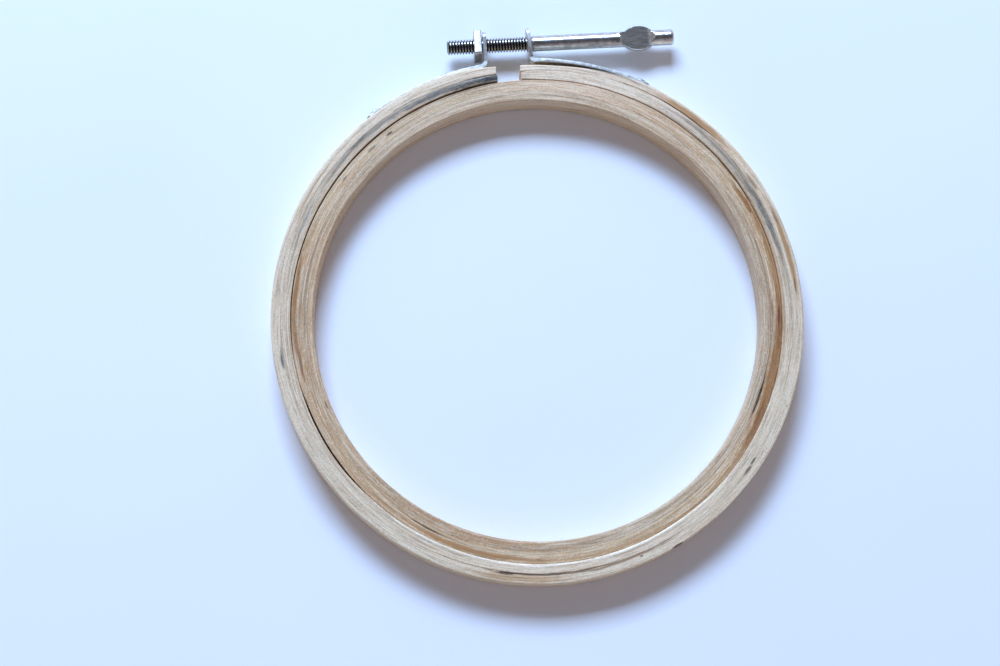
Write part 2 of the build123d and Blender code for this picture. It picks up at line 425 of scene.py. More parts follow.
def zinc(name, light, dark, rough_low, rough_high, seed, streak=(1.0, 1.0, 1.0), streak_size=0.6 * MM,
         scratches=0.35, matte_faces=False):
    """Bright zinc plate: mottled, with fine scratches drawn out along streak's small components.

    matte_faces makes the screw's two pressed wing faces darker and rougher, as a press leaves them, and darkens its
    thread all over and most of all in the roots, where the extra darkening is painted shade.
    """
    material, n = new_material(name)
    place = n.add("ShaderNodeAttribute", attribute_name="rest_place").outputs["Vector"]
    x, y, z = n.separate(place)
    stretched = n.combine(*(n.times(side, pull / streak_size) for side, pull in zip((x, y, z), streak)))
    even = n.combine(*(n.over(side, MM) for side in (x, y, z)))
    drawn = n.noise(stretched, seed, 1.0, 3.0, 0.6)
    mottle = n.noise(even, seed + 3.1, 0.9, 3.0, 0.6)
    grit = n.noise(even, seed + 5.7, 6.0, 2.0, 0.6)
    base = n.mix(n.remap(mottle, 0.35, 0.65, 0.0, 1.0, smooth=True), dark, light)
    base = n.mix(n.remap(drawn, 0.58, 0.72, 0.0, scratches, smooth=True), base, DRAWN_SCRATCH)
    base = n.mix(n.remap(grit, 0.64, 0.74, 0.0, 0.5, smooth=True), base, METAL_GRIT)
    roughness = n.remap(drawn, 0.3, 0.7, rough_low, rough_high)
    if matte_faces:
        # the two faces are found by how high over the axis they lie, on the wing's stretch of the bar
        off_y = n.minus(y, screw_y)
        off_z = n.minus(z, screw_z)
        off_face = n.math("ABSOLUTE", n.minus(n.math("ABSOLUTE", off_z), wing_half_thickness))
        flat = n.remap(off_face, 0.03 * MM, 0.07 * MM, 1.0, 0.0)
        on_wing = n.times(n.remap(x, 28.0 * MM, 28.2 * MM), n.remap(x, 37.0 * MM, 37.6 * MM, 1.0, 0.0))
        face = n.times(flat, on_wing)
        slanting = n.combine(n.over(n.plus(x, y), 0.9 * MM), n.over(n.minus(x, y), 0.16 * MM), 0.0)
        rubbed = n.noise(slanting, seed + 9, 1.0, 2.0)
        base = n.mix(n.times(face, 0.92), base, PRESSED_FACE)
        base = n.mix(n.times(face, n.remap(rubbed, 0.60, 0.70, 0.0, 0.45)), base, RUBBED_FACE)
        roughness = n.plus(roughness, n.times(face, 0.10))
        # the thread is darkened all over, and more in its roots as painted shade
        on_thread = n.remap(x, shoulder_x - 0.1 * MM, shoulder_x, 1.0, 0.0)
        root_shade_share = n.remap(n.length(off_y, off_z), core_radius, thread_radius - 0.04 * MM, 0.95, 0.50)
        base = n.mix(n.times(on_thread, root_shade_share), base, THREAD_DARK_AND_ROOT_SHADE)
    relief = n.plus(n.times(drawn, 0.7), n.times(grit, 0.3))
    finish_material(n, base, roughness, n.bump(relief, 0.25, METAL_RELIEF), {"Metallic": 1.0})
    return material


# ---------------- bamboo plies

FACE_POINTS = 20             # points across a ply's upper or lower face, its walls and its edges
WALL_POINTS = 15
CORNER_POINTS = 5
STEPS_AROUND = 1080
END_SHARE = 0.01             # share of the length over which the ends are pulled to the saw cut
FIBRE_CELLS = (150, 46)      # cells of noise round the ring and round the section
THREAD_CELLS = (430, 24)
WAVE_CELLS = (44, 12)
FIBRE_DEPTH = 0.020 * MM
WAVE_DEPTH = 0.024 * MM
SAW_ROUGHNESS = 0.04 * MM
RIPPLE_ROOM = 0.045 * MM     # left free at the surfaces for the fibres and waves
GLUED_EDGE = 0.08 * MM
SEAM = 0.004 * MM


def section(low, high, bottom, top, corners):
    """Points and outward directions round a ply's section, for every step round the ring.

    Every argument is an array with one value for each step, and corners holds four such arrays of radii, for the
    bottom inside, bottom outside, top outside and top inside edges.
    """
    centres = (
        (low + corners[0], bottom + corners[0]),
        (high - corners[1], bottom + corners[1]),
        (high - corners[2], top - corners[2]),
        (low + corners[3], top - corners[3]),
    )
    sides = ((0, -1, FACE_POINTS), (1, 0, WALL_POINTS), (0, 1, FACE_POINTS), (-1, 0, WALL_POINTS))
    places_r = []
    places_z = []
    directions = []
    for corner, (out_r, out_z, count) in enumerate(sides):
        centre_r, centre_z = centres[corner]
        start = pi + corner * pi / 2
        for k in range(CORNER_POINTS):
            angle = start + k / (CORNER_POINTS - 1) * pi / 2
            places_r.append(centre_r + corners[corner] * cos(angle))
            places_z.append(centre_z + corners[corner] * sin(angle))
            directions.append((cos(angle), sin(angle)))
        ahead = (corner + 1) % 4
        from_r = places_r[-1]
        from_z = places_z[-1]
        to_r = centres[ahead][0] + corners[ahead] * out_r
        to_z = centres[ahead][1] + corners[ahead] * out_z
        for k in range(1, count):
            share = k / count
            places_r.append(from_r + (to_r - from_r) * share)
            places_z.append(from_z + (to_z - from_z) * share)
            directions.append((out_r, out_z))
    return np.stack(places_r, 1), np.stack(places_z, 1), np.array(directions)


def ply(name, low, high, top, corner_sizes, material, seed, split=False, low_drift=None, high_drift=None,
        top_rise=None, end_offsets=(0.0, 0.0)):
    """One bent bamboo strip as a mesh.

    corner_sizes are four radii or functions of the angle in degrees. low_drift and high_drift move the inside and
    the outside outwards and top_rise lifts the top, as functions of the angle.
    """
    steps = STEPS_AROUND + (1 if split else 0)
    share = np.arange(steps) / STEPS_AROUND
    middle = (low + high) / 2
    first = degrees(asin(gap_right_x / middle)) if split else 0.0
    last = 360 + degrees(asin(gap_left_x / middle)) if split else 360.0
    angle = first + (last - first) * share
    one = np.ones(steps)
    corners = [size(angle) if callable(size) else size * one for size in corner_sizes]
    low_shift = low_drift(angle) if low_drift else 0 * one
    high_shift = high_drift(angle) if high_drift else 0 * one
    rise = top_rise(angle) if top_rise else 0 * one
    top_line = top - RIPPLE_ROOM + rise
    r, z, directions = section(low + low_shift, high + high_shift, RIPPLE_ROOM * one, top_line, corners)

    # fibres and waviness pushed along the section's outward directions
    turns = np.repeat(angle[:, None] / 360, r.shape[1], 1)
    lane = np.repeat(np.arange(r.shape[1])[None, :] / r.shape[1], steps, 0)
    fibre = ripple(turns, lane, *FIBRE_CELLS, seed) * 0.6 + ripple(turns, lane, *THREAD_CELLS, seed + 1) * 0.4
    wave = ripple(turns, lane, *WAVE_CELLS, seed + 2)
    push = fibre * FIBRE_DEPTH + wave * WAVE_DEPTH
    r = r + directions[None, :, 0] * push
    z = z + directions[None, :, 1] * push

    theta = np.repeat(np.radians(angle)[:, None], r.shape[1], 1)
    if split:
        # both ends are sawn flat, across the hoop's Y direction, and left a little rough
        rough = np.random.default_rng(seed + 9).uniform(-SAW_ROUGHNESS, SAW_ROUGHNESS, (2, r.shape[1]))
        start = np.arcsin((gap_right_x + end_offsets[0] + rough[0]) / r[0])
        end = 2 * pi + np.arcsin((gap_left_x + end_offsets[1] + rough[1]) / r[-1])
        near_start = np.clip(1 - share / END_SHARE, 0, 1)[:, None]
        near_end = np.clip(1 - (1 - share) / END_SHARE, 0, 1)[:, None]
        theta = theta + (start[None, :] - radians(first)) * near_start
        theta = theta + (end[None, :] - radians(last)) * near_end
    points = np.stack([r * np.sin(theta), r * np.cos(theta), z], 2).reshape(-1, 3)
    columns = r.shape[1]
    faces = grid_faces(steps, columns, not split, True)
    if split:
        faces.append(tuple(range(columns)))
        faces.append(tuple(reversed(range((steps - 1) * columns, steps * columns))))
    piece = mesh_piece(name, points, faces, material)
    tidy_normals(piece)
    piece.data.set_sharp_from_angle(angle=radians(50))
    return piece


def tidy_normals(piece):
    """Makes every face point outwards."""
    work = bmesh.new()
    work.from_mesh(piece.data)
    bmesh.ops.recalc_face_normals(work, faces=work.faces)
    work.to_mesh(piece.data)
    work.free()
    piece.data.update()


def eased(angle, stops):
    """A value that moves smoothly between stops of (degrees, value in millimetres) and closes round the ring."""
    places = [place for place, value in stops]
    values = [value for place, value in stops]
    places = [places[-1] - 360] + places + [places[0] + 360]
    values = [values[-1]] + values + [values[0]]
    around = np.mod(angle - places[1], 360) + places[1]
    index = np.clip(np.searchsorted(places, around, side="right") - 1, 0, len(places) - 2)
    places = np.array(places)
    values = np.array(values)
    share = ease((around - places[index]) / (places[index + 1] - places[index]))
    return (values[index] * (1 - share) + values[index + 1] * share) * MM


def bore_shift(angle):
    """The outer ring isn't quite round: how far its bore stands outside its nominal radius."""
    return eased(angle, [(5, -0.20), (48, -0.10), (93, -0.36), (138, -0.36), (183, -0.05), (224, -0.22), (236, 0.0),
                         (250, 0.0), (259, 0.0), (273, 0.08), (318, 0.05), (348, 0.10), (358, 0.05)])


def inner_ring_shift(angle):
    """The inner ring fills that bore on the right and below, and leaves a crack on the left."""
    return eased(angle, [(5, 0.06), (48, 0.03), (93, -0.10), (138, -0.09), (183, 0.21), (224, 0.02), (236, -0.12),
                         (250, -0.10), (259, 0.20), (273, 0.16), (318, 0.02), (348, -0.06), (358, 0.0)])


def outer_glue_shift(angle):
    """The glue line wanders: near the nut's end the outer ply is the thicker one."""
    return eased(angle, [(5, -0.20), (28, 0.40), (50, -0.05), (95, -0.25), (155, -0.10), (200, 0.0), (300, 0.0),
                         (332, -0.20), (357, -0.80)])


def inner_glue_shift(angle):
    """The inner ring's glue line wanders too."""
    return eased(angle, [(0, -0.20), (70, -0.30), (110, -0.35), (190, 0.05), (280, -0.10)])


def hand_worn_shift(angle):
    """The outer ply is planed thinner towards its end under the screw's head, and rounded off at the nut's end."""
    planed = ease((1 - np.clip((angle - 6) / 24, 0, 1)) * (angle < 90))
    rounded = ease(np.clip((angle - 346) / 9, 0, 1))
    return -(1.25 * planed + 1.0 * rounded) * MM - RIPPLE_ROOM


def rough_line(angle, cells, seed):
    """Noise from -1 to 1 along an edge, in so many cells round the ring."""
    return ripple(angle / 360, 0 * angle, cells, 1, seed)


def inner_rise(angle):
    """The inner ring stands nearly flush beside the screw and lower elsewhere."""
    return eased(angle, [(10, 0.22), (40, 0.10), (80, -0.05), (180, -0.10), (300, -0.10), (345, 0.0)])


def outer_glue_edge(angle):
    """Edge radius at the outer ring's glue line: larger where the plies have parted."""
    parted = window(angle, 27, 49, 6) * 0.15 + window(angle, 153, 204, 8) * 0.14 + window(angle, 350, 358, 5) * 0.30
    return (0.04 + parted + np.abs(rough_line(angle, 130, 74)) * 0.05) * MM


def inner_glue_edge(angle):
    """Edge radius at the inner ring's glue line."""
    parted = window(angle, 68, 92, 8) * 0.08 + window(angle, 106, 118, 4) * 0.20
    return (0.03 + parted + np.abs(rough_line(angle, 130, 75)) * 0.04) * MM


def splintered_edge(angle):
    """Edge radius of the outer ring's bore: chipped by a saw on the right, and rounder opposite the screw."""
    chips = np.abs(rough_line(angle, 300, 76)) * window(angle, 55, 138, 10) * 0.30
    round_part = window(angle, 134, 226, 10) * 0.28
    base = 0.13 - window(angle, 0, 18, 10) * 0.06
    return (base + chips + round_part + np.abs(rough_line(angle, 90, 77)) * 0.08) * MM


def worn_edge(angle):
    """Edge radius of the outside, which is rounder beside the screw."""
    return eased(angle, [(0, 0.75), (60, 0.60), (110, 0.40), (250, 0.38), (310, 0.75)]) \
        + rough_line(angle, 50, 78) * 0.10 * MM


def inner_worn_edge(angle):
    """Edge radius of the hoop's own bore."""
    return eased(angle, [(0, 0.30), (90, 0.50), (180, 0.65), (270, 0.50)]) \
        + rough_line(angle, 46, 79) * 0.12 * MM


def ring_edge(angle):
    """Edge radius of the inner ring's outside."""
    return (0.13 - window(angle, 0, 18, 10) * 0.07 + np.abs(rough_line(angle, 80, 80)) * 0.08) * MM


outer_ply_wood = bamboo(
    "bamboo_outer_ply",
    [(0, IVORY), (22, IVORY), (48, WARM_CREAM), (85, BEIGE), (112, PALE), (150, CREAM), (185, CREAM), (205, PALE),
     (240, PALE), (275, CREAM), (305, CREAM), (330, IVORY)],
    [
        # painted shade: the strap's shadow on the rounded outer edge beside the screw's head
        (KNOT_AND_SHADE, 0.90, 12, 13, 70.55, 0.60, 0.05),
        (GOLDEN, 1.0, 41.0, 10.5, 69.45, 0.90, 0.25),
        (CRACK_AND_GAP_SHADE, 0.95, 38.5, 12.5, 68.8, 0.17, 0.15),
        (UMBER_AND_SHADE, 0.80, 60.6, 2.6, 68.95, 0.50, 0.30),
        (GOLDEN, 1.0, 77.5, 11, 69.7, 0.65, 0.20),
        (UMBER_AND_SHADE, 0.70, 85.9, 1.8, 69.6, 0.30, 0.25),
        (UMBER_AND_SHADE, 0.55, 70.0, 1.8, 69.7, 0.28, 0.25),
        (UMBER_AND_SHADE, 0.70, 113.2, 0.35, 70.2, 0.15, 0.10),
        (KNOT_AND_SHADE, 0.90, 127.6, 1.0, 68.6, 0.38, 0.30),
        (CRACK_AND_GAP_SHADE, 0.80, 129.8, 1.3, 68.85, 0.45, 0.38),
        (KNOT_AND_SHADE, 0.95, 152.4, 1.35, 71.0, 0.40, 0.15),
        (KNOT_AND_SHADE, 0.85, 160.4, 0.4, 69.1, 0.22, 0.10),
        (UMBER_AND_SHADE, 0.85, 172, 22, 68.55, 0.34, 0.30),
        (HONEY, 0.75, 187.5, 11, 69.7, 1.20, 0.38),
        (CRACK_AND_GAP_SHADE, 0.80, 184, 11, 68.6, 0.22, 0.38),
        (KNOT_AND_SHADE, 0.90, 191.0, 1.9, 68.8, 0.36, 0.35),
        (STAIN_GREY, 0.90, 263.6, 2.6, 68.8, 0.55, 0.38),
        (STAIN_DARK, 0.70, 263.2, 1.5, 68.9, 0.24, 0.38),
        (HONEY, 0.65, 303, 8, 69.8, 0.35, 0.25),
        (CRACK_AND_GAP_SHADE, 0.90, 331.8, 3.2, 68.35, 0.26, 0.38),
        (STAIN_DARK, 0.60, 350.5, 5.5, 67.9, 0.40, 0.30),
    ],
    seed=1,
)
inner_ply_wood = bamboo(
    "bamboo_inner_ply",
    [(0, IVORY), (24, IVORY), (42, BEIGE), (62, GREY_BEIGE), (88, BEIGE), (110, CREAM), (135, CREAM), (180, IVORY),
     (200, CREAM), (230, PALE), (275, BEIGE), (300, GREY_BEIGE), (330, BEIGE), (350, GREY_BEIGE)],
    [
        (STAIN_GREY, 0.85, 61, 25, 67.6, 0.90, 0.42),
        (STAIN_BLUE, 0.80, 69.5, 10, 67.5, 0.70, 0.50),
        (HONEY, 0.60, 82.5, 26, 65.9, 0.45, 0.35),
        # painted highlight: a pale line on the bore's edge opposite the screw, where light catches it
        (PAINTED_HIGHLIGHT_LINE, 0.75, 178, 44, 66.05, 0.34, 0.12),
        # painted shade: a dark line on the bore's edge, in the gap between the rings
        (CRACK_AND_GAP_SHADE, 0.60, 46.5, 24, 65.85, 0.16, 0.35),
        (UMBER_AND_SHADE, 0.75, 174, 22, 68.35, 0.24, 0.35),
        (STAIN_GREY, 0.85, 293.5, 9, 67.6, 0.35, 0.42),
        (STAIN_GREY, 0.90, 319, 14, 67.7, 0.75, 0.42),
        (STAIN_DARK, 0.75, 318, 3.0, 67.9, 0.40, 0.60),
        (STAIN_GREY, 0.85, 341, 15, 67.2, 1.00, 0.36),
        (STAIN_BLUE, 0.85, 343, 13, 67.0, 0.75, 0.42),
        (STAIN_DARK, 0.90, 351, 9, 66.5, 0.75, 0.42),
        (STAIN_DARK, 0.85, 355, 4, 66.8, 1.10, 0.35),
        # painted shade: brown on the bore's edge at the top left, beside the gap between the rings
        (UMBER_AND_SHADE, 0.75, 345, 14, 65.6, 0.35, 0.35),
    ],
    seed=2,
)
inner_ring_outer_wood = bamboo(
    "bamboo_inner_ring_outer_ply",
    [(0, PINKISH), (24, PINKISH), (44, TAN), (64, TAN), (96, HONEY), (120, TAN), (145, SAND), (180, SAND),
     (204, SAND), (232, TAN), (264, HONEY), (292, TAN), (312, SAND), (335, BEIGE), (350, GREY_BEIGE)],
    [
        (GOLDEN, 1.0, 62.6, 4.6, 64.3, 0.65, 0.35),
        (GOLDEN, 0.95, 82, 19, 64.9, 0.95, 0.35),
        (GOLDEN, 0.95, 108, 21, 64.5, 1.35, 0.35),
        (UMBER_AND_SHADE, 0.80, 93.0, 2.6, 64.5, 0.34, 0.35),
        (UMBER_AND_SHADE, 0.60, 91.0, 2.4, 62.95, 0.28, 0.30),
        (UMBER_AND_SHADE, 0.60, 119, 6, 64.2, 0.40, 0.38),
        (KNOT_AND_SHADE, 0.95, 113, 5.5, 62.5, 0.36, 0.28),
        (UMBER_AND_SHADE, 0.60, 106.5, 26, 62.55, 0.18, 0.35),
        (HONEY, 0.60, 151, 40, 65.0, 0.50, 0.38),
        (GOLDEN, 0.95, 199, 19, 64.6, 0.80, 0.35),
        (CRACK_AND_GAP_SHADE, 0.80, 211, 4.6, 63.5, 0.30, 0.35),
        (UMBER_AND_SHADE, 0.50, 207, 16, 63.5, 0.20, 0.38),
        (GOLDEN, 0.55, 228, 11, 64.6, 0.50, 0.38),
        (RED_BROWN, 0.80, 264.5, 8, 64.5, 0.45, 0.35),
        (GOLDEN, 0.95, 278, 14, 65.1, 0.50, 0.35),
        (STAIN_GREY, 0.65, 277.5, 9, 63.5, 0.30, 0.42),
        (KNOT_AND_SHADE, 0.65, 309.2, 0.9, 64.1, 0.40, 0.45),
        (KNOT_AND_SHADE, 0.65, 319.3, 1.5, 64.1, 0.36, 0.50),
        (KNOT_AND_SHADE, 0.90, 324.9, 0.9, 64.15, 0.32, 0.25),
        (UMBER_AND_SHADE, 0.50, 329, 7, 63.8, 0.18, 0.38),
        # painted shade: brown on the inner ring's outer edge at the top left, where the outer ring shades it
        (UMBER_AND_SHADE, 0.60, 341.5, 13, 65.3, 0.28, 0.35),
    ],
    seed=3, sawn_tint=(1.0, 0.96, 0.89),
)
inner_ring_inner_wood = bamboo(
    "bamboo_inner_ring_inner_ply",
    [(0, PALE), (20, BEIGE), (42, SAND), (62, GREY_BEIGE), (95, GREY_BEIGE), (130, BEIGE), (160, GREY_BEIGE),
     (188, TAN), (214, HONEY), (235, SAND), (262, TAN), (290, TAN), (315, GREY_BEIGE), (335, BEIGE)],
    [
        (UMBER_AND_SHADE, 0.55, 92.5, 26, 62.35, 0.14, 0.35),
        (KNOT_AND_SHADE, 0.75, 113, 5.0, 62.3, 0.16, 0.25),
        (STAIN_GREY, 0.55, 42.5, 3.6, 62.2, 0.28, 0.35),
        (UMBER_AND_SHADE, 0.55, 131, 3.5, 61.1, 0.15, 0.35),
        (UMBER_AND_SHADE, 0.45, 102.5, 14, 61.9, 0.16, 0.38),
        (UMBER_AND_SHADE, 0.55, 173, 12, 61.4, 0.16, 0.38),
        (STAIN_GREY, 0.55, 186, 10, 62.1, 0.25, 0.42),
        (KNOT_AND_SHADE, 0.70, 250.3, 1.2, 61.0, 0.24, 0.35),
        (STAIN_GREY, 0.60, 280.5, 14, 62.2, 0.32, 0.42),
        (UMBER_AND_SHADE, 0.40, 21, 24, 61.3, 0.10, 0.35),
        (UMBER_AND_SHADE, 0.40, 36.5, 20, 60.7, 0.10, 0.35),
        (UMBER_AND_SHADE, 0.40, 344.5, 26, 61.6, 0.10, 0.35),
    ],
    seed=4, sawn_tint=(0.93, 0.88, 0.83),
)

outer_ring_outer_ply = ply(
    "outer_ring_outer_ply", outer_glue_radius + SEAM, outer_radius, outer_height,
    (GLUED_EDGE, worn_edge, worn_edge, outer_glue_edge), outer_ply_wood, 11, split=True,
    low_drift=outer_glue_shift, high_drift=hand_worn_shift, end_offsets=(0.0, -0.15 * MM),
)
outer_ring_inner_ply = ply(
    "outer_ring_inner_ply", outer_bore_radius, outer_glue_radius - SEAM, outer_height,
    (ring_edge, GLUED_EDGE, outer_glue_edge, splintered_edge), inner_ply_wood, 21, split=True,
    low_drift=bore_shift, high_drift=outer_glue_shift, end_offsets=(0.1 * MM, 0.10 * MM),
)
inner_ring_outer_ply = ply(
    "inner_ring_outer_ply_wood", inner_glue_radius + SEAM, inner_ring_radius, inner_height,
    (GLUED_EDGE, ring_edge, ring_edge, inner_glue_edge), inner_ring_outer_wood, 31,
    low_drift=inner_glue_shift, high_drift=inner_ring_shift, top_rise=inner_rise,
)
inner_ring_inner_ply = ply(
    "inner_ring_inner_ply_wood", hoop_bore_radius, inner_glue_radius - SEAM, inner_height,
    (inner_worn_edge, GLUED_EDGE, inner_glue_edge, inner_worn_edge), inner_ring_inner_wood, 41,
    high_drift=inner_glue_shift, top_rise=inner_rise,
)

# the outer ring bends opposite the screw: the strip in which it turns is no wider than the gap
for piece, half in ((outer_ring_outer_ply, "outer_ply"), (outer_ring_inner_ply, "inner_ply")):
    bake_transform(piece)
    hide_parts(f"outer_ring_{half}_head_half", f"outer_ring_{half}_nut_half")
for piece, half in ((inner_ring_outer_ply, "outer_ply"), (inner_ring_inner_ply, "inner_ply")):
    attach(piece, "inner_ring")
    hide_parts(f"inner_ring_{half}")


# ---------------- screw

thread_end = screw_low.x
screw_end = screw_high.x
barrel_radius = 2.15 * MM
thread_radius = 2.02 * MM
core_radius = 1.45 * MM
pitch = 0.8 * MM
thread_root = 0.10               # shares of a half turn: the flat root, then the flank up to the flat crest
thread_flank = 0.56
shoulder_bevel = 0.30 * MM
end_bevel = 0.50 * MM

wing_middle = 32.7 * MM          # the wing's oval outline, seen from above
wing_half_length = 4.75 * MM
wing_half_width = 3.45 * MM
wing_half_thickness = 1.05 * MM
pressed_start = 27.5 * MM
pressed_end = 37.8 * MM
flat_middle = 32.45 * MM         # the oval within which the press left it flat
flat_half_length = 4.6 * MM
flat_half_width = 3.7 * MM
flat_runout = 5.0 * MM
crescent_from = 34.0 * MM        # past here the face ends in a crescent that slopes up to the stub
crescent_foot = 35.4 * MM
crescent_length = 2.0 * MM
crescent_rise = 1.15 * MM
no_limit = 10 * MM


def lathe_rows(name, xs, radius_of, limit_of, segments, material):
    """A closed bar on the screw's axis, whose radius and half thickness come from two functions."""
    phi = np.arange(segments) / segments * 2 * pi
    grid_x = np.repeat(np.array(xs)[:, None], segments, 1)
    grid_phi = np.repeat(phi[None, :], len(xs), 0)
    radius = radius_of(grid_x, grid_phi)
    y = radius * np.cos(grid_phi)
    z = radius * np.sin(grid_phi)
    if limit_of is not None:
        limit = limit_of(grid_x, y)
        z = np.clip(z, -limit, limit)
    points = np.stack([grid_x, y + screw_y, z + screw_z], 2).reshape(-1, 3)
    faces = grid_faces(len(xs), segments, False, True)
    faces.append(tuple(reversed(range(segments))))
    faces.append(tuple(range((len(xs) - 1) * segments, len(xs) * segments)))
    piece = mesh_piece(name, points, faces, material)
    tidy_normals(piece)
    piece.data.set_sharp_from_angle(angle=radians(38))
    return piece


def thread_height(x, phi):
    """Radius of a right-hand V thread with small flats, pointed at its free end."""
    phase = np.mod(x / pitch - phi / (2 * pi), 1.0)
    away = np.abs(phase - 0.5) * 2
    profile = np.clip((away - thread_root) / thread_flank, 0, 1)
    radius = core_radius + (thread_radius - core_radius) * profile
    point = core_radius + (x - thread_end) * 1.5
    return np.minimum(radius, point)


def bar_radius(x, phi):
    """Barrel, wing and stub, the same all round."""
    inside = np.clip(1 - ((x - wing_middle) / wing_half_length) ** 2, 0, 1)
    radius = np.maximum(barrel_radius, wing_half_width * np.sqrt(inside))
    from_shoulder = np.clip((x - shoulder_x) / shoulder_bevel, 0, 1)
    from_end = np.clip((screw_end - x) / end_bevel, 0, 1)
    return radius - (1 - np.sqrt(from_shoulder)) * shoulder_bevel - (1 - np.sqrt(from_end)) * end_bevel


def wing_limit(x, y):
    """Half thickness: pressed flat within an oval, with a crescent slope towards the stub."""
    oval = np.sqrt(((x - flat_middle) / flat_half_length) ** 2 + (y / flat_half_width) ** 2)
    flat = wing_half_thickness + np.clip(oval - 1.0, 0, 1) * flat_runout
    slope = wing_half_thickness + np.clip((x - crescent_foot) / crescent_length, 0, 1) * crescent_rise
    limit = np.where(x > crescent_from, slope, flat)
    return np.where((x < pressed_start) | (x > pressed_end), no_limit, limit)


screw_steel = zinc("zinc_plated_screw", (0.80, 0.775, 0.71), (0.58, 0.56, 0.51), 0.18, 0.28, 2.0,
                   streak=(0.25, 1.0, 1.0), scratches=0.20, matte_faces=True)
bracket_steel = zinc("zinc_plated_sheet", (0.78, 0.74, 0.66), (0.50, 0.475, 0.42), 0.40, 0.54, 5.0,
                     streak=(0.3, 1.0, 1.0), scratches=0.30)
nut_steel = zinc("zinc_plated_nut", (0.66, 0.63, 0.57), (0.42, 0.40, 0.37), 0.38, 0.52, 8.0,
                 streak=(1.0, 0.3, 1.0), scratches=0.30)
nail_steel = zinc("zinc_plated_nail", (0.60, 0.565, 0.50), (0.34, 0.32, 0.28), 0.26, 0.40, 11.0,
                  scratches=0.45)

thread_xs = np.arange(thread_end, shoulder_x + 0.25 * MM, pitch / 14)
screw_thread = lathe_rows("screw_thread", thread_xs, thread_height, None, 48, screw_steel)
bar_xs = np.concatenate([
    shoulder_x + np.array([0, 0.03, 0.08, 0.16, 0.30]) * MM,
    np.arange(3.9, 27.0, 0.7) * MM,
    np.arange(27.0, 38.4, 0.12) * MM,
    np.arange(38.6, 41.7, 0.4) * MM,
    screw_end - np.array([0.55, 0.40, 0.25, 0.12, 0.04, 0]) * MM,
])
screw_bar = lathe_rows("screw_barrel_and_wing", bar_xs, bar_radius, wing_limit, 96, screw_steel)
for piece in (screw_thread, screw_bar):
    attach(piece, "tension_screw")
    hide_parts("tension_screw")


# ---------------- nut

nut_right = nut_high.x
nut_left = nut_low.x
nut_half_width = 3.5 * MM
nut_corner = 0.45 * MM
nut_soft = 0.28 * MM             # rounding of the outside edges
nut_lip = 0.18 * MM              # rounding of the bore's edges
nut_bore = 1.92 * MM
nut_turn = -radians(6)
nut_segments = 144


def nut_mesh():
    """A square nut with softened edges, as rings of points from the outside to the bore."""
    phi = np.arange(nut_segments) / nut_segments * 2 * pi
    flat = nut_half_width - nut_corner
    # rounded square: walk out along each direction until it meets the sides or the corner arcs
    c = np.abs(np.cos(phi))
    s = np.abs(np.sin(phi))
    to_side = nut_half_width / np.maximum(c, s)
    arc = flat * (c + s) + np.sqrt(np.maximum(nut_corner ** 2 - flat ** 2 * (c - s) ** 2, 0))
    on_corner = np.minimum(c, s) * to_side > flat
    outline = np.where(on_corner, arc, to_side)
    bore = nut_bore + 0 * phi
    mouth = bore + nut_lip
    bend = np.linspace(0, pi / 2, 5)
    inwards = (0.25, 0.5, 0.75)
    rings = [(nut_left + nut_soft * (1 - sin(b)), outline - nut_soft * (1 - cos(b))) for b in bend]
    rings += [(nut_left, outline * (1 - b) + mouth * b) for b in inwards]
    rings += [(nut_left + nut_lip * (1 - cos(b)), bore + nut_lip * (1 - sin(b))) for b in bend]
    rings += [(nut_right - nut_lip * (1 - sin(b)), bore + nut_lip * (1 - cos(b))) for b in bend]
    rings += [(nut_right, outline * b + mouth * (1 - b)) for b in inwards]
    rings += [(nut_right - nut_soft * (1 - cos(b)), outline - nut_soft * (1 - sin(b))) for b in bend]
    points = []
    for ring_x, ring_radius in rings:
        y = ring_radius * np.cos(phi + nut_turn) + screw_y
        z = ring_radius * np.sin(phi + nut_turn) + screw_z
        points.append(np.stack([ring_x + 0 * phi, y, z], 1))
    return np.concatenate(points), grid_faces(len(rings), nut_segments, True, True)


nut_points, nut_faces = nut_mesh()
nut_piece = mesh_piece("square_nut_body", nut_points, nut_faces, nut_steel)
tidy_normals(nut_piece)
nut_piece.data.set_sharp_from_angle(angle=radians(60))
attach(nut_piece, "nut")
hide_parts("square_nut")


# ---------------- brackets and nails

head_strap_top = 8.0 * MM
nut_strap_top = 6.3 * MM
ear_foot_y = 74.0 * MM           # the sheet is all ear from here up, and all strap a little lower
ear_blend = 1.5 * MM
planed_from = 2                  # degrees round from the gap, where the planed wood is thinnest, and how far it goes
planed_over = 26
strap_pull = 0.22 * MM
bend_at = 3.2                    # degrees round, where the strap starts, and over how many it does
bend_over = 1.5
narrow_from = 6                  # degrees round, where the strap starts to get narrower, and over how many it does
narrow_over = 22.7
narrow_share = 0.16
lean_foot_y = 72.0 * MM
lean_height = 9.0 * MM
lean_right = 0.20 * MM           # how far right the head's ear stands at its foot
lean_left = 0.60 * MM            # and how much further left its tip does
nut_hole_rise = 0.2 * MM         # the ear's hole stands above the screw
nut_hole_edge = 2.40 * MM        # the points of its edge lie within this
nut_hole_growth = 0.17 * MM


def round_the_ring(places):
    """Degrees clockwise from +Y, seen from above."""
    return np.degrees(np.arctan2(places[:, 0], places[:, 1]))


def strap_share(places):
    """1 in the strap, 0 in the ear."""
    return np.clip((ear_foot_y - places[:, 1]) / ear_blend, 0, 1)


def planed_share(places):
    """1 at the outer ring's end under the screw's head, easing to 0 where its outside is at full size."""
    return ease(1 - np.clip((round_the_ring(places) - planed_from) / planed_over, 0, 1))


def without_step(places, strap_top):
    """Slopes the ear's upper edge down to the strap's, where the sheet is cut narrower at the bend."""
    moved = places.copy()
    moved[:, 2] -= np.clip(places[:, 2] - strap_top, 0, None) * strap_share(places)
    return moved


